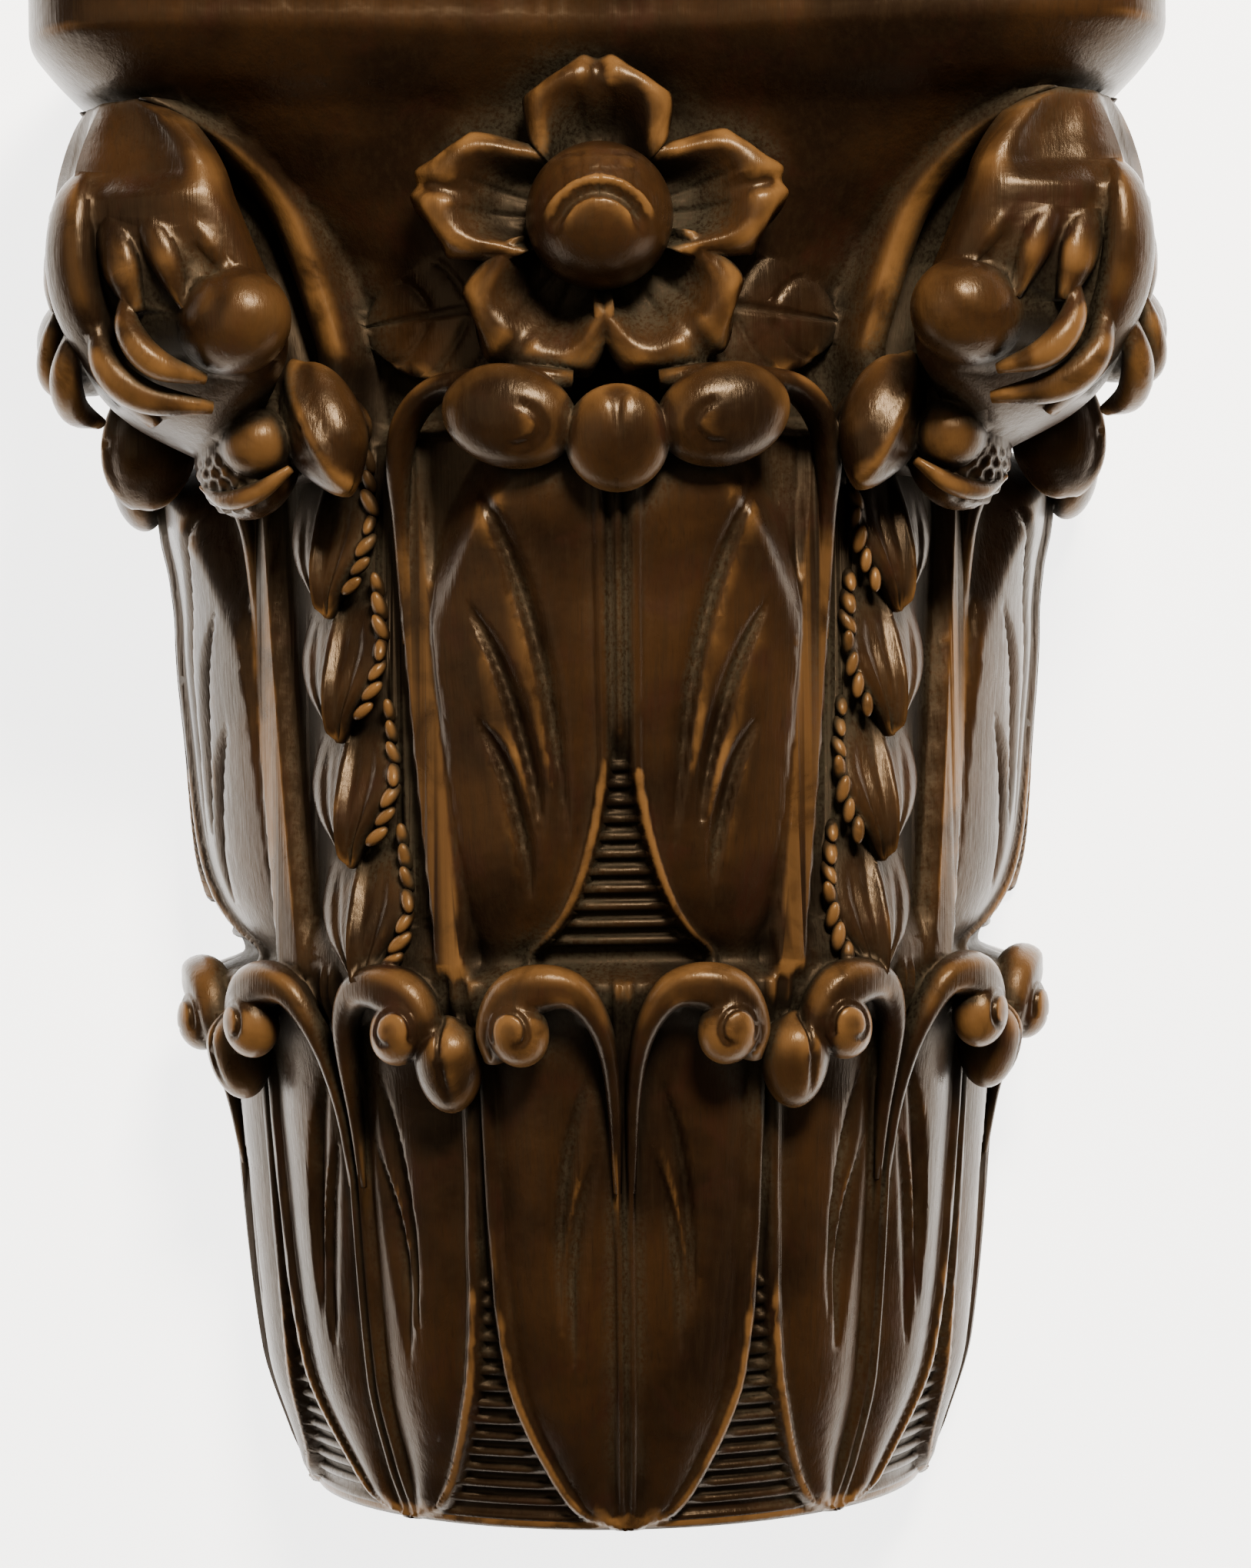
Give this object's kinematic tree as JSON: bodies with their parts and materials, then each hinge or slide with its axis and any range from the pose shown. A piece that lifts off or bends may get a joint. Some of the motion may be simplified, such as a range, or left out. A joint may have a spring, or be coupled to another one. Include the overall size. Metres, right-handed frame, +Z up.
{
  "type": "corbel bracket",
  "caption": "Carved hardwood corbel bracket, half of a leafed capital with flower, corner leaves and husks, flat-backed for a wall.",
  "frame": {"origin": "middle of the flat back, where it meets the wall", "axes": "+Z up, +Y into the wall, -Y out of the carved front, +X to the viewer's right"},
  "size_m": [0.3014, 0.1507, 0.41],
  "materials": {
    "stained_hardwood": "satin"
  },
  "bodies": {
    "root": {"corbel": "stained_hardwood"}
  },
  "joints": []
}
